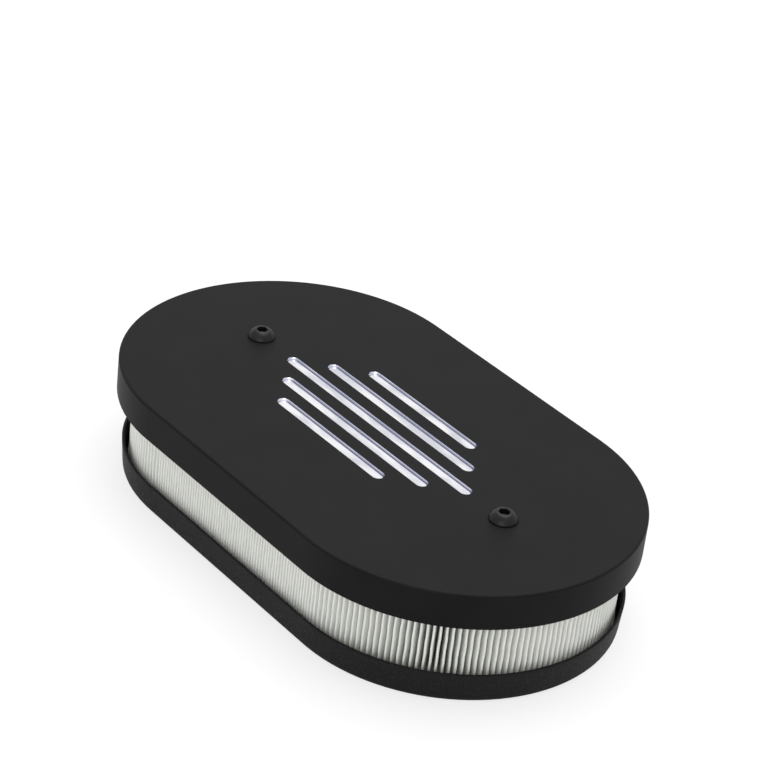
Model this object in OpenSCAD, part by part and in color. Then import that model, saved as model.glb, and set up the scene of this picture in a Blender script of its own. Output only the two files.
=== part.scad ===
// Oval carburetor air cleaner: a pleated paper element clamped between a base tray and a cover.
// The origin is the centre of the tray's underside, X runs along the oval and Z is up.
// Every form that follows the oval is a profile swept round two straight sides and two half turns.

/* [Oval outline] */
// Distance between the centres of the two round ends
end_spacing = 100; // [90:1:160]

/* [Filter element] */
// Radius of the element's round ends, over its rubber caps
element_r = 64.5; // [61:0.5:80]
// Height of the element over both caps
element_h = 45; // [36:1:90]
// Width of the element from its opening to its outside
element_wall = 21.6; // [20:0.1:26]
// Thickness of each rubber cap, over its sealing bead
cap_t = 3.6; // [3.4:0.1:6]
// Width of the rubber lips beside the ends of the paper
cap_lip = 0.5; // [0.3:0.1:1]
// How deep the ends of the paper are potted in each cap
potting_depth = 1.2; // [0.6:0.1:1.4]
// Bevel round the outer edge of each cap
cap_bevel = 0.6; // [0.3:0.1:1]
// Width of the raised land next to the opening, with its sealing bead
inner_land_w = 9.1; // [6:0.1:10]
// Width of the channel moulded into each cap
channel_w = 7; // [4:0.1:8]
// Depth of the channel below the raised land
channel_depth = 1; // [0.4:0.1:1.2]
// How far the outer land lies below the raised land
outer_drop = 0.6; // [0.2:0.1:0.9]
// Width of the beads on both sides of the channel
bead_w = 0.8; // [0.4:0.1:1.2]
// Height of the beads above their lands
bead_h = 0.3; // [0.1:0.05:0.5]

/* [Pleated paper] */
// Distance from pleat to pleat at the inner folds
pleat_pitch = 1.6; // [1.4:0.1:4]
// Thickness of the paper with its resin
paper_t = 0.45; // [0.2:0.05:0.5]
// Gap between the paper's folds and the rubber lips
glue_gap = 0.2; // [0.1:0.05:0.4]

/* [Base tray] */
// Height of the tray's wall
tray_h = 12; // [8:0.5:20]
// Thickness of the tray's sheet
tray_sheet = 1.2; // [0.8:0.1:2]
// Outside radius of the bend from floor to wall
tray_bend_r = 2; // [2:0.1:3]
// How far the wall leans outwards up to its rim
tray_lean = 0.7; // [0.2:0.1:2]
// Gap between the element and the foot of the wall
element_play = 0.4; // [0.4:0.1:2]
// Bevel on the sheet's rim
rim_break = 0.3; // [0.1:0.05:0.35]

/* [Holes in the tray] */
// Diameter of the two throat holes
throat_d = 37.4; // [30:0.1:40]
// Distance between the throat holes
throat_spacing = 74; // [68:0.5:78]
// Diameter of the two middle holes
middle_hole_d = 10; // [6:0.1:11]
// Distance between the middle holes
middle_spacing = 18; // [14:0.5:20]
// Diameter of the stud holes
stud_hole_d = 5.4; // [4:0.1:7]
// Distance between the outer pair of front stud holes
front_outer_spacing = 54.8; // [50:0.1:60]
// Distance of the outer front stud holes from the long axis
front_outer_y = 25.1; // [24:0.1:30]
// Distance between the inner pair of front stud holes
front_inner_spacing = 22; // [16:0.1:30]
// Distance of the inner front stud holes from the long axis
front_inner_y = 24; // [20:0.1:30]
// Distance between the outer pair of rear stud holes
rear_outer_spacing = 90; // [80:0.1:100]
// Distance of the outer rear stud holes from the long axis
rear_outer_y = 25.1; // [24:0.1:30]
// Distance between the inner pair of rear stud holes
rear_inner_spacing = 18; // [14:0.1:24]
// Distance of the inner rear stud holes from the long axis
rear_inner_y = 16.5; // [14:0.1:20]

/* [Cover] */
// How far the cover reaches past the element all round
cover_overhang = 5.5; // [4:0.1:10]
// Thickness of the cover's plate
cover_plate = 2; // [1.5:0.1:4]
// Thickness of the cover's skirt
skirt_wall = 2; // [1.2:0.1:3]
// Height of the skirt, from the top of the cover down
skirt_h = 14; // [8:0.5:20]
// Radius of the cover's top edge
cover_edge_r = 1; // [0.5:0.1:1.4]
// Radius of the fillet inside the skirt
cover_fillet_r = 0.8; // [0.4:0.1:1.2]

/* [Cover slots and inlay] */
// Number of slots across the cover
slot_count = 5; // [1:2:5]
// Distance from slot to slot
slot_pitch = 11; // [8:0.5:12]
// Width of each slot
slot_w = 5; // [3:0.1:6]
// Length of the middle slot
slot_l = 112; // [90:1:114]
// How much shorter each slot is than its inner neighbour
slot_step = 24; // [10:1:30]
// Thickness of the inlay plate under the cover
inlay_t = 1.2; // [0.8:0.1:2]
// How far the inlay plate reaches past the slots
inlay_margin = 5; // [3:0.5:6]
// Gap between the raised bars of the inlay and the slots
inlay_gap = 0.15; // [0.1:0.05:0.4]
// How far the raised bars stay below the top of the cover
inlay_recess = 0.9; // [0.4:0.1:1.2]
// Bevel along the raised bars
bar_bevel = 0.5; // [0.2:0.1:0.6]

/* [Standoffs and screws] */
// Distance of each standoff outwards from its end centre
standoff_offset = 25; // [22:0.5:30]
// Outside diameter of the standoff tubes
standoff_d = 8; // [7.6:0.1:12]
// Gap left above the standoffs, taken up as the element is clamped
clamp_gap = 0.3; // [0.1:0.1:0.8]
// Diameter of the neck swaged into the tray
neck_d = 6; // [4:0.1:7]
// Gap round the neck in its hole
neck_gap = 0.05; // [0.02:0.01:0.1]
// Diameter of the screw's thread, drawn plain
thread_d = 6.3; // [5:0.05:6.5]
// Radial gap between the thread and its bore
thread_gap = 0.05; // [0.02:0.01:0.1]
// Depth of the threaded bore in each standoff
bore_depth = 20; // [14:0.5:30]
// Bevel on the tube's outer and inner top edges
tube_bevel = 0.3; // [0.1:0.05:0.35]
// Length of the screws under the head
screw_l = 12.7; // [8:0.1:18]
// Diameter of the screw head
head_d = 11.1; // [10:0.1:14]
// Height of the domed screw head
head_h = 3.35; // [3:0.05:5]
// Height of the straight rim under the dome
head_rim = 0.5; // [0.3:0.1:1]
// Diameter of the flat on top of the head
head_flat_d = 6; // [5.2:0.1:7]
// Width across the flats of the hexagon socket
socket_w = 3.97; // [3:0.01:4.2]
// Depth of the hexagon socket
socket_depth = 2.2; // [1.5:0.1:2.6]
// Diameter of the screw holes in the cover
screw_hole_d = 6.8; // [6.7:0.1:8]

/* [Hidden] */

round_fn = 96;
small_fn = 48;
arc_steps = 6;
dome_steps = 10;
cut = 1;

// Tray
tray_foot_r = element_r + element_play + tray_sheet;
tray_r = tray_foot_r + tray_lean;

// Element
opening_r = element_r - element_wall;
paper_out_r = element_r - cap_lip - glue_gap;
paper_in_r = opening_r + cap_lip + glue_gap;
channel_in_r = opening_r + inner_land_w;
channel_out_r = channel_in_r + channel_w;
inner_land_z = cap_t - bead_h;
outer_land_z = inner_land_z - outer_drop;
channel_z = inner_land_z - channel_depth;
element_z = tray_sheet;
top_cap_z = element_z + element_h - cap_t;
paper_z = element_z + cap_t - potting_depth;
paper_h = element_h - 2 * (cap_t - potting_depth);
side_pleats = round(end_spacing / pleat_pitch);
end_pleats = round(PI * paper_in_r / pleat_pitch);
half_pleats = side_pleats + end_pleats;

// Cover
cover_r = element_r + cover_overhang;
cover_z = element_z + element_h;
cover_top = cover_z + cover_plate;
skirt_z = cover_top - skirt_h;
slot_reach = (slot_count - 1) / 2;
inlay_r = slot_reach * slot_pitch + slot_w / 2 + inlay_margin;
inlay_span = slot_l + 2 * inlay_margin - 2 * inlay_r;
bar_h = cover_plate - inlay_recess;
bar_w = slot_w - 2 * inlay_gap;

// Standoffs and screws
standoff_x = end_spacing / 2 + standoff_offset;
standoff_top = cover_z - clamp_gap;
bore_r = thread_d / 2 + thread_gap;
dome_z = (pow(head_flat_d / 2, 2) + pow(head_h, 2) - pow(head_d / 2, 2) - pow(head_rim, 2))
    / (2 * (head_h - head_rim));
dome_r = norm([head_d / 2, head_rim - dome_z]);
dome_from = asin((head_rim - dome_z) / dome_r);
dome_to = asin((head_h - dome_z) / dome_r);

// Points of an arc round [x, y], from one angle to another.
function arc(x, y, r, from, to, steps = arc_steps) = [
    for (i = [0:steps])
        let (a = from + (to - from) * i / steps)
        [x + r * cos(a), y + r * sin(a)]
];

// Direction that faces out of the oval at pleat u, counted from the front left corner.
function outward(u) =
    u < side_pleats ? [0, -1] :
    u < half_pleats ? let (a = 180 * (u - side_pleats) / end_pleats - 90) [cos(a), sin(a)] :
    -outward(u - half_pleats);

// Middle of the curve, or foot on the centre line, that pleat u stands round.
function pleat_foot(u) =
    u < side_pleats ? [end_spacing * (u / side_pleats - 0.5), 0] :
    u < half_pleats ? [end_spacing / 2, 0] :
    -pleat_foot(u - half_pleats);

// Point at distance r out at pleat u, shifted along the oval.
function pleat_point(u, r, shift = 0) =
    let (n = outward(u))
    pleat_foot(u) + r * n + shift * [-n.y, n.x];

// Outline of the paper's outer face: a folded edge two sheets wide, then a valley.
function outer_face() = [
    for (i = [0:2 * half_pleats - 1])
        for (p = [
            pleat_point(i + 0.5, paper_out_r, -paper_t),
            pleat_point(i + 0.5, paper_out_r, paper_t),
            pleat_point((i + 1) % (2 * half_pleats), paper_in_r + paper_t)
        ]) p
];

// Outline of the paper's inner face, with its folds where the outer face has valleys.
function inner_face() = [
    for (i = [0:2 * half_pleats - 1])
        for (p = [
            pleat_point(i, paper_in_r, -paper_t),
            pleat_point(i, paper_in_r, paper_t),
            pleat_point(i + 0.5, paper_out_r - paper_t)
        ]) p
];

// Sweeps a profile round the oval. The profile's x is its distance out from the
// line between the end centres, and its y is its height.
module racetrack(span) {
    for (turn = [0, 180])
        rotate([0, 0, turn])
            translate([span / 2, 0, 0])
                rotate([0, 0, -90]) {
                    rotate_extrude(angle = 180, $fn = round_fn) children();
                    rotate([90, 0, 0]) linear_extrude(span) children();
                }
}

module tray_profile() {
    bend_x = tray_foot_r - tray_bend_r;
    polygon(concat(
        [[0, 0]],
        arc(bend_x, tray_bend_r, tray_bend_r, -90, 0),
        [
            [tray_r, tray_h - rim_break],
            [tray_r - rim_break, tray_h],
            [tray_r - tray_sheet + rim_break, tray_h],
            [tray_r - tray_sheet, tray_h - rim_break]
        ],
        arc(bend_x, tray_bend_r, tray_bend_r - tray_sheet, 0, -90),
        [[0, tray_sheet]]
    ));
}

// A pair of holes across the middle of the tray.
module hole_pair(spacing, y, d) {
    for (side = [-1, 1])
        translate([side * spacing / 2, y, -cut])
            cylinder(d = d, h = tray_sheet + 2 * cut, $fn = small_fn);
}

module base_tray() {
    color([0.1, 0.1, 0.1])
        difference() {
            racetrack(end_spacing) tray_profile();
            hole_pair(throat_spacing, 0, throat_d);
            hole_pair(middle_spacing, 0, middle_hole_d);
            hole_pair(front_outer_spacing, -front_outer_y, stud_hole_d);
            hole_pair(front_inner_spacing, -front_inner_y, stud_hole_d);
            hole_pair(rear_outer_spacing, rear_outer_y, stud_hole_d);
            hole_pair(rear_inner_spacing, rear_inner_y, stud_hole_d);
            hole_pair(2 * standoff_x, 0, neck_d + 2 * neck_gap);
        }
}

// A tube with a neck in the tray's floor and a blind threaded bore from its top.
module standoff(side) {
    tube_r = standoff_d / 2;
    color([0.3, 0.3, 0.31])
        translate([side * standoff_x, 0, 0])
            rotate_extrude($fn = small_fn)
                polygon([
                    [0, 0],
                    [neck_d / 2, 0],
                    [neck_d / 2, tray_sheet],
                    [tube_r, tray_sheet],
                    [tube_r, standoff_top - tube_bevel],
                    [tube_r - tube_bevel, standoff_top],
                    [bore_r + tube_bevel, standoff_top],
                    [bore_r, standoff_top - tube_bevel],
                    [bore_r, standoff_top - bore_depth],
                    [0, standoff_top - bore_depth]
                ]);
}

module standoff_left() {
    standoff(-1);
}

module standoff_right() {
    standoff(1);
}

// A bead with its foot of one width and its flat crest of half that width.
function bead(r_from, r_to, z) =
    let (slope = (r_to - r_from) / 4)
    [[r_from, z], [r_from + slope, z + bead_h], [r_to - slope, z + bead_h], [r_to, z]];

// A moulded cap with its paper side at the bottom and its sealing side at the top.
module end_cap() {
    groove_in_r = opening_r + cap_lip;
    groove_out_r = element_r - cap_lip;
    racetrack(end_spacing)
        polygon(concat(
            [
                [opening_r, 0],
                [groove_in_r, 0],
                [groove_in_r, potting_depth],
                [groove_out_r, potting_depth],
                [groove_out_r, 0],
                [element_r, 0],
                [element_r, outer_land_z - cap_bevel],
                [element_r - cap_bevel, outer_land_z]
            ],
            bead(channel_out_r + bead_w, channel_out_r, outer_land_z),
            [
                [channel_out_r, channel_z],
                [channel_in_r, channel_z]
            ],
            bead(channel_in_r, channel_in_r - bead_w, inner_land_z),
            [
                [opening_r + cap_bevel, inner_land_z],
                [opening_r, inner_land_z - cap_bevel]
            ]
        ));
}

module bottom_end_cap() {
    color([0.13, 0.13, 0.13])
        translate([0, 0, element_z + cap_t])
            mirror([0, 0, 1])
                end_cap();
}

module top_end_cap() {
    color([0.13, 0.13, 0.13])
        translate([0, 0, top_cap_z])
            end_cap();
}

module filter_paper() {
    color([0.88, 0.89, 0.86])
        translate([0, 0, paper_z])
            linear_extrude(paper_h)
                difference() {
                    polygon(outer_face());
                    polygon(inner_face());
                }
}

module cover_profile() {
    inside_r = cover_r - skirt_wall;
    polygon(concat(
        [[0, cover_z], [inside_r - cover_fillet_r, cover_z]],
        arc(inside_r - cover_fillet_r, cover_z - cover_fillet_r, cover_fillet_r, 90, 0),
        [[inside_r, skirt_z], [cover_r, skirt_z]],
        arc(cover_r - cover_edge_r, cover_top - cover_edge_r, cover_edge_r, 0, 90),
        [[0, cover_top]]
    ));
}

// Places its children at each slot, with the slot's length as $slot_span between end centres.
module each_slot() {
    for (row = [-slot_reach:slot_reach]) {
        $slot_span = slot_l - abs(row) * slot_step - slot_w;
        translate([0, row * slot_pitch, 0]) children();
    }
}

module cover() {
    color([0.16, 0.16, 0.16])
        difference() {
            racetrack(end_spacing) cover_profile();
            each_slot()
                translate([0, 0, cover_z - cut])
                    racetrack($slot_span) square([slot_w / 2, cover_plate + 2 * cut]);
            for (side = [-1, 1])
                translate([side * standoff_x, 0, cover_z - cut])
                    cylinder(d = screw_hole_d, h = cover_plate + 2 * cut, $fn = small_fn);
        }
}

// A bright plate under the cover, with a raised bar standing in each slot.
module inlay_plate() {
    color([0.85, 0.86, 0.9])
        union() {
            translate([0, 0, cover_z - inlay_t])
                racetrack(inlay_span) square([inlay_r, inlay_t]);
            each_slot()
                translate([0, 0, cover_z])
                    racetrack($slot_span)
                        polygon([
                            [0, 0],
                            [bar_w / 2, 0],
                            [bar_w / 2, bar_h - bar_bevel],
                            [bar_w / 2 - bar_bevel, bar_h],
                            [0, bar_h]
                        ]);
        }
}

// A button head screw with a hexagon socket.
module cover_screw(side) {
    color([0.12, 0.12, 0.12])
        translate([side * standoff_x, 0, cover_top])
            difference() {
                rotate_extrude($fn = small_fn)
                    polygon(concat(
                        [[0, -screw_l], [thread_d / 2, -screw_l], [thread_d / 2, 0], [head_d / 2, 0]],
                        arc(0, dome_z, dome_r, dome_from, dome_to, dome_steps),
                        [[0, head_h]]
                    ));
                translate([0, 0, head_h - socket_depth])
                    cylinder(d = socket_w / cos(30), h = socket_depth + cut, $fn = 6);
            }
}

module cover_screw_left() {
    cover_screw(-1);
}

module cover_screw_right() {
    cover_screw(1);
}

base_tray();
standoff_left();
standoff_right();
bottom_end_cap();
filter_paper();
top_end_cap();
cover();
inlay_plate();
cover_screw_left();
cover_screw_right();
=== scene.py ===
import math

import bmesh
import bpy
from mathutils import Matrix, Vector


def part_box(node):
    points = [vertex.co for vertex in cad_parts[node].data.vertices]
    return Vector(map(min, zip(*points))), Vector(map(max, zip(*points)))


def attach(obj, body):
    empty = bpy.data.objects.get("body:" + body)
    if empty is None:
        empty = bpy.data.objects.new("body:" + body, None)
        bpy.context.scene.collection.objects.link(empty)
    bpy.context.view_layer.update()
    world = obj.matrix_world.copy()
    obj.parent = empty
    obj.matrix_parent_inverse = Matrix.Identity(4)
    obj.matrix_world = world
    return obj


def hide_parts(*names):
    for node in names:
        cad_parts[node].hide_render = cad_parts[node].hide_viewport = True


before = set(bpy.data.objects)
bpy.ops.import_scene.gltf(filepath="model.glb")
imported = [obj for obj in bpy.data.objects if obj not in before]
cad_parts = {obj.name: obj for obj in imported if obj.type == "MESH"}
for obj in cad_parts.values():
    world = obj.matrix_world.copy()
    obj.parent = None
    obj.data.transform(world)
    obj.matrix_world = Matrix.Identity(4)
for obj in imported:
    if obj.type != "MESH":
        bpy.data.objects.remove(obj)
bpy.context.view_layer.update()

# Lengths are in metres. The view's angles are in degrees, and angles in the functions are in radians.
MM = 0.001

# Camera: the photograph's viewing angle, and where the tray's middle stands in its frame
VIEW_AZIMUTH = 48.7
VIEW_ELEVATION = 29.7
VIEW_ROLL = -7.0
VIEW_DISTANCE = 986 * MM
AIM_RIGHT = 8.4 * MM
AIM_UP = 56 * MM
LENS = 119
SENSOR = 36

# Studio: the lamps are a name, a place, a width, and a power in watts
SOFTBOXES = (
    ("overhead", (-0.2, 0.35, 1.6), 1.4, 26),
    ("front", (0.85, -1.1, 0.7), 1.0, 6),
)
LAMP_AIM = Vector((0, 0, 0.05))
WHITE = (1.0, 1.0, 1.0, 1.0)
WORLD_LIGHT = 0.55
FLOOR_PAINT = (0.9, 0.9, 0.9, 1.0)
FLOOR_GLOW = 0.75
FLOOR_REACH = 6.0
FLOOR_GAP = 0.2 * MM

# Colours, as linear red, green and blue
COVER_BLACKS = ((0.0055, 0.0055, 0.0055), (0.0075, 0.0075, 0.0076))
TRAY_BLACKS = ((0.0065, 0.0065, 0.0067), (0.0155, 0.0155, 0.016))
RUBBER_BLACKS = ((0.010, 0.010, 0.010), (0.0135, 0.0135, 0.013))
OXIDE_BLACKS = ((0.0045, 0.0045, 0.0048), (0.009, 0.009, 0.0094))
PAPER_PALES = ((0.74, 0.755, 0.715), (0.79, 0.80, 0.765))
PAPER_FIBRE = (0.68, 0.69, 0.65)
RESIN_PALES = ((0.70, 0.71, 0.67), (0.78, 0.79, 0.75))
STEEL_GREYS = ((0.12, 0.12, 0.124), (0.32, 0.32, 0.325))
# A painted highlight for the bevels round the standoffs' end faces
STEEL_BEVEL_HIGHLIGHT = (0.62, 0.62, 0.63)
# The chrome's colours: pale ones that paint a sheen, then a bluish one that paints shade along the bars'
# edges
CHROME_PAINTED_SHEEN = ((0.66, 0.67, 0.73), (0.90, 0.90, 0.93))
CHROME_EDGE_SHADE = (0.34, 0.35, 0.47)
CHROME_WALL = (0.80, 0.81, 0.87)

# Sizes read from the frame
upper_cap_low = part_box("top_end_cap")[0]
lower_cap_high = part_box("bottom_end_cap")[1]
paper_low, paper_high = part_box("filter_paper")
tube_low, tube_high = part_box("standoff_right")
screw_low, screw_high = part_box("cover_screw_right")
cover_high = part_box("cover")[1]

# Pleated paper and the resin that holds its ends
PAPER_OUT_R = paper_high.y
END_X = paper_high.x - PAPER_OUT_R
PAPER_DEPTH = 20.2 * MM
PAPER_IN_R = PAPER_OUT_R - PAPER_DEPTH
PAPER_T = 0.45 * MM
FOLD_R = 0.2 * MM
SIDE_PLEATS = 63
END_PLEATS = 86
PLEAT_LEVELS = 15
POTTING_EDGE = 0.15 * MM
POTTING_GAP = 0.02 * MM
POTTING_UNDER_LIP = 0.08 * MM
POTTING_HOLLOW = 0.15
OVAL_STEPS = 64
CREST_STEPS = 4
VALLEY_STEPS = 3
# Sideways ripples of a crest: depth, turn up the height, and turn from pleat to pleat
RIPPLES = ((0.07 * MM, 26, 0.45), (0.05 * MM, 8, 2.1))
CREST_DROP = 0.05 * MM
CREST_DROP_TURNS = (7, 1.3)

# Standoffs and the cover's slots
TUBE_R = (tube_high.y - tube_low.y) / 2
NECK_R = 3 * MM
NECK_TOP = 1.2 * MM
FOOT_BREAK = 0.2 * MM
THREAD_PITCH = 1.27 * MM
THREAD_R = 3.15 * MM
BORE_R = 3.2 * MM
THREAD_DEPTH = 0.35 * MM
BORE_DEPTH = 20 * MM
SLOT_PITCH = 11 * MM
SLOTS_REACH_X = 60 * MM
SLOTS_REACH_Y = 27 * MM
# Painted shade on the chrome bars: full from this distance off a bar's middle, fading in over the width
# below
BAR_EDGE = 2.2 * MM
BAR_EDGE_W = 0.5 * MM
TUBE_BEVEL = 0.3 * MM
BEVEL_MARGIN = 0.02 * MM

# Screws
HEAD_R = (screw_high.y - screw_low.y) / 2
HEAD_RIM = 0.5 * MM
HEAD_FLAT_R = 3 * MM
HEAD_BREAK = 0.2 * MM
DOME_STEPS = 14
SOCKET_W = 3.97 * MM
SOCKET_DEPTH = 2.2 * MM
SOCKET_BREAK = 0.15 * MM
ROUND_STEPS = 72
THREAD_ROWS = 10

SIDE_NAMES = {-1: "left", 1: "right"}
tube_x = (tube_low.x + tube_high.x) / 2


class Value:
    """A socket that carries a number, so that shader maths is written as Python."""

    def __init__(self, nodes, socket):
        self.nodes = nodes
        self.socket = socket

    def maths(self, operation, first, second):
        return self.nodes.add("ShaderNodeMath", {"operation": operation}, {0: first, 1: second})

    def __add__(self, other):
        return self.maths("ADD", self, other)

    def __radd__(self, other):
        return self.maths("ADD", other, self)

    def __sub__(self, other):
        return self.maths("SUBTRACT", self, other)

    def __rsub__(self, other):
        return self.maths("SUBTRACT", other, self)

    def __mul__(self, other):
        return self.maths("MULTIPLY", self, other)

    def __rmul__(self, other):
        return self.maths("MULTIPLY", other, self)

    def __gt__(self, other):
        return self.maths("GREATER_THAN", self, other)


class Nodes:
    """Adds nodes to one emptied node tree."""

    def __init__(self, tree):
        self.tree = tree
        tree.nodes.clear()

    def feed(self, socket, value):
        """Gives a socket a link or a constant."""
        if isinstance(value, Value):
            self.tree.links.new(value.socket, socket)
        else:
            socket.default_value = value

    def add(self, kind, settings, values, output=0):
        """Adds a node of one kind with its settings, then its socket values, and returns one output."""
        node = self.tree.nodes.new(kind)
        for name, value in settings.items():
            setattr(node, name, value)
        for name, value in values.items():
            self.feed(node.inputs[name], value)
        return Value(self, node.outputs[output]) if node.outputs else None


class Finish(Nodes):
    """A procedural material, built up node by node round one surface shader."""

    def __init__(self, name, **constants):
        self.material = bpy.data.materials.new(name)
        self.material.use_nodes = True
        super().__init__(self.material.node_tree)
        fixed = {socket.replace("_", " "): value for socket, value in constants.items()}
        surface = self.add("ShaderNodeBsdfPrincipled", {}, fixed)
        self.add("ShaderNodeOutputMaterial", {}, {"Surface": surface})
        self.shader = surface.socket.node
        self.place = self.add("ShaderNodeTexCoord", {}, {}, "Object")

    def set(self, socket, value):
        """Gives a socket of the surface shader a link or a constant."""
        self.feed(self.shader.inputs[socket], value)

    def stretched(self, scale):
        """Object coordinates multiplied by a scale along each axis."""
        return self.add("ShaderNodeVectorMath", {"operation": "MULTIPLY"}, {0: self.place, 1: scale})

    def part(self, vector, axis):
        """One part of a vector, with its sign."""
        return self.add("ShaderNodeSeparateXYZ", {}, {0: vector}, axis)

    def size_of(self, vector, axis):
        """How large one part of a vector is, without its sign."""
        return self.add("ShaderNodeMath", {"operation": "ABSOLUTE"}, {0: self.part(vector, axis)})

    def noise(self, size, detail, place=None):
        """Noise whose lumps are about size metres across."""
        values = {"Vector": place or self.place, "Scale": 1 / size, "Detail": detail}
        return self.add("ShaderNodeTexNoise", {}, values, "Fac")

    def contrast(self, value, low, high):
        """Stretches the range from low to high over 0 to 1."""
        return self.add("ShaderNodeMapRange", {}, {"Value": value, "From Min": low, "From Max": high})

    def patches(self, size, detail=3.0):
        """Soft patches from 0 to 1, about size metres across."""
        return self.contrast(self.noise(size, detail), 0.3, 0.7)

    def between(self, low, high, mask):
        """A number that goes from low to high with a mask."""
        return low + (high - low) * mask

    def tint(self, first, second, mask):
        """A colour that goes from the first to the second with a mask."""
        ends = [colour if isinstance(colour, Value) else (*colour, 1.0) for colour in (first, second)]
        return self.add("ShaderNodeMix", {"data_type": "RGBA"}, {0: mask, 6: ends[0], 7: ends[1]}, 2)

    def relief(self, height, depth):
        """Turns a height from 0 to 1 into a bump of that depth, in metres."""
        bump = {"Strength": 1.0, "Distance": depth, "Height": height}
        self.set("Normal", self.add("ShaderNodeBump", {}, bump))

    def slot_wall(self):
        """1 on the upright walls of the cover's slots, and 0 elsewhere."""
        facing = self.add("ShaderNodeTexCoord", {}, {}, "Normal")
        level = self.size_of(facing, "Z") > 0.5
        beyond_ends = self.size_of(self.place, "X") > SLOTS_REACH_X
        beyond_sides = self.size_of(self.place, "Y") > SLOTS_REACH_Y
        return (1 - level) * (1 - beyond_ends) * (1 - beyond_sides)


def satin_cover_finish():
    """Satin black, with the slots' walls as bright as the inlay below them."""
    finish = Finish("satin black coat", Specular_IOR_Level=0.07)
    cloud = finish.patches(18 * MM)
    wall = finish.slot_wall()
    finish.set("Base Color", finish.tint(finish.tint(*COVER_BLACKS, cloud), CHROME_WALL, wall))
    finish.set("Metallic", wall)
    finish.set("Roughness", finish.between(finish.between(0.49, 0.515, cloud), 0.14, wall))
    finish.relief(finish.noise(0.5 * MM, 2.0), 0.006 * MM)
    return finish.material


def powder_coat_finish():
    """Sheet metal under a fine textured coat, with paler specks on its grains."""
    finish = Finish("textured black powder coat", Specular_IOR_Level=0.12)
    grain = finish.noise(0.55 * MM, 3.0)
    speck = finish.contrast(grain, 0.5, 0.72)
    finish.set("Base Color", finish.tint(*TRAY_BLACKS, speck))
    finish.set("Roughness", finish.between(0.62, 0.42, speck))
    finish.relief(grain, 0.07 * MM)
    return finish.material


def moulded_rubber_finish():
    """Matt rubber with a faint bloom and fine pores."""
    finish = Finish("moulded black rubber", Specular_IOR_Level=0.12)
    bloom = finish.contrast(finish.noise(9 * MM, 4.0), 0.35, 0.7)
    finish.set("Base Color", finish.tint(*RUBBER_BLACKS, bloom))
    finish.set("Roughness", finish.between(0.55, 0.68, bloom))
    finish.relief(finish.noise(0.35 * MM, 2.0), 0.012 * MM)
    return finish.material


def filter_paper_finish():
    """Off-white paper, mottled, with fibres that run up the pleats."""
    finish = Finish("resin-treated filter paper", Roughness=0.85, Specular_IOR_Level=0.2)
    fibres = finish.noise(0.6 * MM, 4.0, finish.stretched((1.0, 1.0, 0.35)))
    pale = finish.tint(*PAPER_PALES, finish.patches(4 * MM))
    finish.set("Base Color", finish.tint(pale, PAPER_FIBRE, finish.contrast(fibres, 0.55, 0.8)))
    finish.relief(fibres, 0.05 * MM)
    return finish.material


def potting_finish():
    """Pale resin that flowed round the paper's ends."""
    finish = Finish("pale potting resin", Specular_IOR_Level=0.3)
    flow = finish.patches(3 * MM)
    finish.set("Base Color", finish.tint(*RESIN_PALES, flow))
    finish.set("Roughness", finish.between(0.45, 0.6, flow))
    finish.relief(flow, 0.05 * MM)
    return finish.material


def turned_steel_finish(top_z):
    """Dark steel with turning marks, with a painted highlight on the bevel under the end face."""
    finish = Finish("dark turned steel", Metallic=0.72)
    turning = finish.noise(0.25 * MM, 2.0, finish.stretched((0.05, 0.05, 1.0)))
    smoke = finish.patches(7 * MM, 2.0)
    marks = finish.contrast(turning, 0.35, 0.65)
    grey = finish.tint(*STEEL_GREYS, finish.between(0.6 * smoke, 1.0, 0.4 * marks))
    height = finish.part(finish.place, "Z")
    # Painted highlight: the band of the bevels under the end face is made bright
    bevel_highlight = (height > top_z - TUBE_BEVEL) - (height > top_z - BEVEL_MARGIN)
    finish.set("Base Color", finish.tint(grey, STEEL_BEVEL_HIGHLIGHT, bevel_highlight))
    finish.set("Roughness", finish.between(0.26, 0.40, turning))
    finish.relief(turning, 0.02 * MM)
    return finish.material


def black_oxide_finish():
    """Screws blackened in a bath, a little uneven."""
    finish = Finish("black oxide", Specular_IOR_Level=0.2)
    smoke = finish.patches(2.5 * MM)
    finish.set("Base Color", finish.tint(*OXIDE_BLACKS, smoke))
    finish.set("Roughness", finish.between(0.30, 0.40, smoke))
    finish.relief(finish.noise(0.2 * MM, 2.0), 0.006 * MM)
    return finish.material


def bright_chrome_finish():
    """Chrome with a pale painted sheen in soft patches, and painted bluish shade along the bars' edges."""
    finish = Finish("bright chrome plate", Metallic=1.0)
    # Painted sheen: soft pale patches stand in for reflections on the chrome
    painted_sheen = finish.contrast(finish.noise(9 * MM, 2.0, finish.stretched((0.6, 1.6, 1.0))), 0.4, 0.6)
    polish = finish.noise(0.4 * MM, 2.0, finish.stretched((0.05, 1.0, 1.0)))
    across = finish.part(finish.place, "Y")
    from_middle = finish.add("ShaderNodeMath", {"operation": "PINGPONG"}, {0: across, 1: SLOT_PITCH / 2})
    # Painted shade: a bluish darkening along each bar's edges
    edge = finish.contrast(from_middle, BAR_EDGE - BAR_EDGE_W, BAR_EDGE)
    finish.set("Base Color", finish.tint(finish.tint(*CHROME_PAINTED_SHEEN, painted_sheen), CHROME_EDGE_SHADE, edge))
    finish.set("Roughness", finish.between(0.10, 0.20, polish))
    finish.relief(polish, 0.003 * MM)
    return finish.material


def mesh_object(name, bm, material, smooth_under=40):
    """Makes an object of a bmesh, smooth over edges that turn less than an angle."""
    bmesh.ops.recalc_face_normals(bm, faces=bm.faces)
    for face in bm.faces:
        face.smooth = True
    for edge in bm.edges:
        if len(edge.link_faces) == 2:
            edge.smooth = edge.calc_face_angle(0.0) < math.radians(smooth_under)
    mesh = bpy.data.meshes.new(name)
    bm.to_mesh(mesh)
    bm.free()
    mesh.materials.append(material)
    piece = bpy.data.objects.new(name, mesh)
    bpy.context.collection.objects.link(piece)
    return piece


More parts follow.
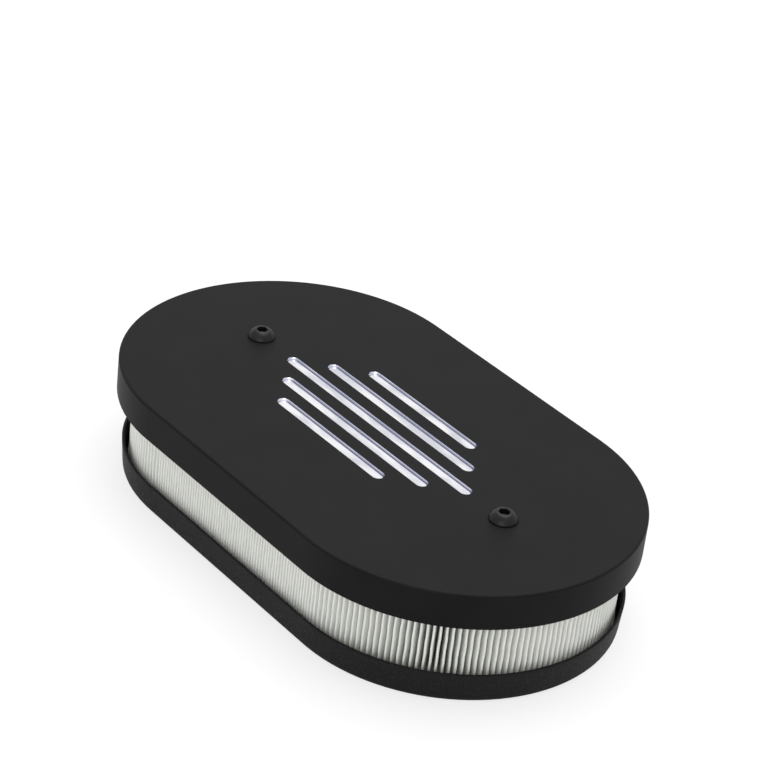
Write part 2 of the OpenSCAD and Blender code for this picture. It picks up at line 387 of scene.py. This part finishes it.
def bridge_rings(bm, lower, upper):
    """Joins two closed rings of equal length with quads."""
    for i, vert in enumerate(lower):
        following = (i + 1) % len(lower)
        bm.faces.new((vert, lower[following], upper[following], upper[i]))


def stack_rings(bm, rings):
    """Skins a stack of closed rings of points, and returns the rings of vertices."""
    made = [[bm.verts.new(point) for point in ring] for ring in rings]
    for lower, upper in zip(made, made[1:]):
        bridge_rings(bm, lower, upper)
    return made


def close_with_fan(bm, ring, centre):
    """Closes a ring with triangles to one point."""
    tip = bm.verts.new(centre)
    for i, vert in enumerate(ring):
        bm.faces.new((vert, ring[(i + 1) % len(ring)], tip))


def circle(radius, z):
    """A ring of points round the Z axis; radius is a number or a function of the angle."""
    points = []
    for i in range(ROUND_STEPS):
        angle = 2 * math.pi * i / ROUND_STEPS
        r = radius(angle) if callable(radius) else radius
        points.append(Vector((r * math.cos(angle), r * math.sin(angle), z)))
    return points


def thread_rings(mean_r, depth, low, high):
    """Rings up a threaded stretch: the ridge climbs one pitch for each turn."""
    rows = round((high - low) / THREAD_PITCH * THREAD_ROWS)
    rings = []
    for row in range(rows + 1):
        z = low + (high - low) * row / rows
        fade = min(1.0, 2 * (z - low) / THREAD_PITCH, 2 * (high - z) / THREAD_PITCH)

        def ridge(angle, z=z, fade=fade):
            turn = (z / THREAD_PITCH - angle / (2 * math.pi)) % 1.0
            return mean_r - depth * fade * abs(2 * turn - 1)

        rings.append(circle(ridge, z))
    return rings


def standoff_tube(side, material):
    """A turned tube on a neck, with a threaded bore and bevelled rims."""
    top = tube_high.z
    bore_floor = top - BORE_DEPTH
    thread_top = top - TUBE_BEVEL
    bm = bmesh.new()
    rings = [
        circle(NECK_R, 0.0),
        circle(NECK_R, NECK_TOP),
        circle(TUBE_R - FOOT_BREAK, NECK_TOP),
        circle(TUBE_R, NECK_TOP + FOOT_BREAK),
        circle(TUBE_R, top - TUBE_BEVEL),
        circle(TUBE_R - TUBE_BEVEL, top),
        circle(BORE_R + TUBE_BEVEL, top),
        *reversed(thread_rings(BORE_R, -THREAD_DEPTH / 2, bore_floor, thread_top)),
    ]
    made = stack_rings(bm, rings)
    close_with_fan(bm, made[0], Vector((0, 0, 0)))
    close_with_fan(bm, made[-1], Vector((0, 0, bore_floor - BORE_R / 2)))
    bmesh.ops.translate(bm, verts=bm.verts, vec=(side * tube_x, 0, 0))
    return mesh_object("turned_standoff_" + SIDE_NAMES[side], bm, material)


def socket_edge(grow):
    """Distance to the hexagon's edge, at an angle, with its sides moved out by grow."""
    def edge(angle):
        from_flat = (angle % math.radians(60)) - math.radians(30)
        return (SOCKET_W / 2 + grow) / math.cos(from_flat)
    return edge


def button_screw(side, material):
    """A button head screw: thread, rounded head and hexagon socket."""
    seat = cover_high.z
    head_h = screw_high.z - seat
    dome_z = (HEAD_FLAT_R ** 2 + head_h ** 2 - HEAD_R ** 2 - HEAD_RIM ** 2) / (2 * (head_h - HEAD_RIM))
    dome_r = math.hypot(HEAD_R, HEAD_RIM - dome_z)
    rim_angle = math.asin((HEAD_RIM - dome_z) / dome_r)
    flat_angle = math.asin((head_h - dome_z) / dome_r)
    rings = thread_rings(THREAD_R, THREAD_DEPTH, screw_low.z, seat)
    rings += [circle(HEAD_R - HEAD_BREAK, seat), circle(HEAD_R, seat + HEAD_BREAK)]
    for i in range(DOME_STEPS + 1):
        angle = rim_angle + (flat_angle - rim_angle) * i / DOME_STEPS
        rings.append(circle(dome_r * math.cos(angle), seat + dome_z + dome_r * math.sin(angle)))
    socket_floor = screw_high.z - SOCKET_DEPTH
    rings += [
        circle(socket_edge(SOCKET_BREAK), screw_high.z),
        circle(socket_edge(0), screw_high.z - SOCKET_BREAK),
        circle(socket_edge(0), socket_floor),
    ]
    bm = bmesh.new()
    made = stack_rings(bm, rings)
    close_with_fan(bm, made[0], Vector((0, 0, screw_low.z)))
    close_with_fan(bm, made[-1], Vector((0, 0, socket_floor - SOCKET_W / 4)))
    bmesh.ops.translate(bm, verts=bm.verts, vec=(side * tube_x, 0, 0))
    return mesh_object("button_screw_" + SIDE_NAMES[side], bm, material, smooth_under=32)


def oval_frame(u):
    """Foot and outward direction at pleat position u, counted round from the front left corner."""
    half = SIDE_PLEATS + END_PLEATS
    turn = 1
    u = u % (2 * half)
    if u >= half:
        u -= half
        turn = -1
    if u < SIDE_PLEATS:
        foot = Vector(((u / SIDE_PLEATS - 0.5) * 2 * END_X, 0))
        out = Vector((0, -1))
    else:
        angle = math.pi * ((u - SIDE_PLEATS) / END_PLEATS - 0.5)
        foot = Vector((END_X, 0))
        out = Vector((math.cos(angle), math.sin(angle)))
    return turn * foot, turn * out


def fold_line(wander):
    """Closed centre line of the folded sheet, seen from above, as plan points.

    wander gives each crest's sideways drift and how far it falls short of the outer radius.
    """
    crest_r = PAPER_OUT_R - PAPER_T / 2 - FOLD_R
    valley_r = PAPER_IN_R + PAPER_T / 2 + FOLD_R
    points = []
    for pleat in range(2 * (SIDE_PLEATS + END_PLEATS)):
        drift, drop = wander(pleat)
        for u, middle, way, steps in (
            (pleat + 0.5, crest_r - drop, 1, CREST_STEPS),
            (pleat + 1.0, valley_r, -1, VALLEY_STEPS),
        ):
            foot, out = oval_frame(u)
            along = Vector((-out.y, out.x))
            for i in range(steps + 1):
                angle = math.pi * i / steps
                shift = drift * (way > 0) - FOLD_R * math.cos(angle)
                points.append(foot + out * (middle + way * FOLD_R * math.sin(angle)) + along * shift)
    return points


def offset_line(points, distance):
    """A closed line moved sideways by a distance."""
    moved = []
    for i, point in enumerate(points):
        along = (points[(i + 1) % len(points)] - points[i - 1]).normalized()
        moved.append(point + Vector((along.y, -along.x)) * distance)
    return moved


def pleated_paper(material):
    """The folded sheet, glued end to end: round folds that wander a little with the height."""
    outer, inner = [], []
    for step in range(PLEAT_LEVELS + 1):
        level = step / PLEAT_LEVELS
        z = paper_low.z + (paper_high.z - paper_low.z) * level

        def wander(pleat, level=level):
            freedom = math.sqrt(math.sin(math.pi * level))
            ripple = sum(depth * math.sin(up * level + on * pleat) for depth, up, on in RIPPLES)
            up, on = CREST_DROP_TURNS
            drop = CREST_DROP * (1 + math.sin(up * level + on * pleat))
            return freedom * ripple, drop

        line = fold_line(wander)
        for skin, side in ((outer, 1), (inner, -1)):
            moved = offset_line(line, side * PAPER_T / 2)
            skin.append([point.to_3d() + Vector((0, 0, z)) for point in moved])
    bm = bmesh.new()
    outside = stack_rings(bm, outer)
    inside = stack_rings(bm, inner)
    bridge_rings(bm, outside[0], inside[0])
    bridge_rings(bm, outside[-1], inside[-1])
    return mesh_object("pleated_paper", bm, material, smooth_under=60)


def oval_ring(radius, z):
    """A ring of points round the element at one distance from its middle line."""
    points = []
    for end in (1, -1):
        for i in range(OVAL_STEPS + 1):
            angle = math.pi * (i / OVAL_STEPS - 0.5)
            plan = Vector((END_X + radius * math.cos(angle), radius * math.sin(angle), 0))
            points.append(end * plan + Vector((0, 0, z)))
    return points


def potting_ring(name, floor_z, surface_z, material):
    """The resin that holds the paper's end in a cap, a little hollow between its edges."""
    inside = PAPER_IN_R - POTTING_EDGE
    outside = PAPER_OUT_R + POTTING_EDGE
    hollow_z = surface_z + (floor_z - surface_z) * POTTING_HOLLOW
    bm = bmesh.new()
    made = stack_rings(bm, [
        oval_ring(outside, floor_z),
        oval_ring(outside, surface_z),
        oval_ring((outside + inside) / 2, hollow_z),
        oval_ring(inside, surface_z),
        oval_ring(inside, floor_z),
    ])
    bridge_rings(bm, made[-1], made[0])
    return mesh_object(name, bm, material)


def dress(node, material):
    """Gives a CAD node its finish."""
    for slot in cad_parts[node].material_slots:
        slot.material = material


def add_camera():
    """Puts the camera at the photograph's angle, with the tray where it stands in its frame."""
    azimuth, elevation = math.radians(VIEW_AZIMUTH), math.radians(VIEW_ELEVATION)
    back = Vector((
        math.sin(azimuth) * math.cos(elevation),
        -math.cos(azimuth) * math.cos(elevation),
        math.sin(elevation),
    ))
    turn = (-back).to_track_quat("-Z", "Y").to_matrix()
    turn = turn @ Matrix.Rotation(math.radians(-VIEW_ROLL), 3, "Z")
    camera = bpy.data.objects.new("camera", bpy.data.cameras.new("camera"))
    camera.data.lens = LENS
    camera.data.sensor_width = SENSOR
    place = turn @ Vector((AIM_RIGHT, AIM_UP, VIEW_DISTANCE))
    camera.matrix_world = Matrix.Translation(place) @ turn.to_4x4()
    bpy.context.collection.objects.link(camera)
    bpy.context.scene.camera = camera


def add_softbox(name, place, size, power):
    """A square lamp that faces the part."""
    lamp = bpy.data.lights.new(name, "AREA")
    lamp.shape = "SQUARE"
    lamp.size = size
    lamp.energy = power
    box = bpy.data.objects.new(name, lamp)
    turn = (LAMP_AIM - Vector(place)).to_track_quat("-Z", "Y").to_matrix().to_4x4()
    box.matrix_world = Matrix.Translation(place) @ turn
    bpy.context.collection.objects.link(box)


def seen_directly(nodes):
    """1 for what the camera, a mirror or glass sees, and 0 for light on its way."""
    seen = 0.0
    for kind in ("Is Camera Ray", "Is Glossy Ray", "Is Transmission Ray"):
        ray = nodes.add("ShaderNodeLightPath", {}, {}, kind)
        seen = nodes.add("ShaderNodeMath", {"operation": "MAXIMUM"}, {0: seen, 1: ray})
    return seen


def add_world():
    """White where it is seen, and a weaker white as light."""
    world = bpy.data.worlds.new("studio")
    bpy.context.scene.world = world
    world.use_nodes = True
    nodes = Nodes(world.node_tree)
    light = nodes.add("ShaderNodeBackground", {}, {"Color": WHITE, "Strength": WORLD_LIGHT})
    backdrop = nodes.add("ShaderNodeBackground", {}, {"Color": WHITE, "Strength": 1.0})
    either = nodes.add("ShaderNodeMixShader", {}, {0: seen_directly(nodes), 1: light, 2: backdrop})
    nodes.add("ShaderNodeOutputWorld", {}, {"Surface": either})


def add_floor():
    """A pale floor, partly bright of itself where it is seen, so that it stays white round a shadow."""
    material = bpy.data.materials.new("pale floor")
    material.use_nodes = True
    nodes = Nodes(material.node_tree)
    paint = nodes.add("ShaderNodeBsdfDiffuse", {}, {"Color": FLOOR_PAINT})
    glow = nodes.add("ShaderNodeEmission", {}, {"Color": WHITE, "Strength": 1.0})
    either = nodes.add("ShaderNodeMixShader", {}, {0: FLOOR_GLOW * seen_directly(nodes), 1: paint, 2: glow})
    nodes.add("ShaderNodeOutputMaterial", {}, {"Surface": either})
    bm = bmesh.new()
    bmesh.ops.create_grid(bm, x_segments=1, y_segments=1, size=FLOOR_REACH)
    bmesh.ops.translate(bm, verts=bm.verts, vec=(0, 0, -FLOOR_GAP))
    mesh_object("floor", bm, material)


bpy.context.scene.view_settings.view_transform = "Standard"
add_camera()
add_world()
add_floor()
for softbox in SOFTBOXES:
    add_softbox(*softbox)

dress("base_tray", powder_coat_finish())
rubber = moulded_rubber_finish()
dress("top_end_cap", rubber)
dress("bottom_end_cap", rubber)
dress("cover", satin_cover_finish())
dress("inlay_plate", bright_chrome_finish())

paper = pleated_paper(filter_paper_finish())
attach(paper, "element")
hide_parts("filter_paper")
resin = potting_finish()
for name, floor_z, surface_z in (
    ("lower_potting", paper_low.z + POTTING_GAP, lower_cap_high.z - POTTING_UNDER_LIP),
    ("upper_potting", paper_high.z - POTTING_GAP, upper_cap_low.z + POTTING_UNDER_LIP),
):
    potting = potting_ring(name, floor_z, surface_z, resin)
    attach(potting, "element")

steel = turned_steel_finish(tube_high.z)
oxide = black_oxide_finish()
for side in SIDE_NAMES:
    tube = standoff_tube(side, steel)
    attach(tube, "base")
    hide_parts("standoff_" + SIDE_NAMES[side])
    screw = button_screw(side, oxide)
    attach(screw, "screw_" + SIDE_NAMES[side])
    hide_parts("cover_screw_" + SIDE_NAMES[side])
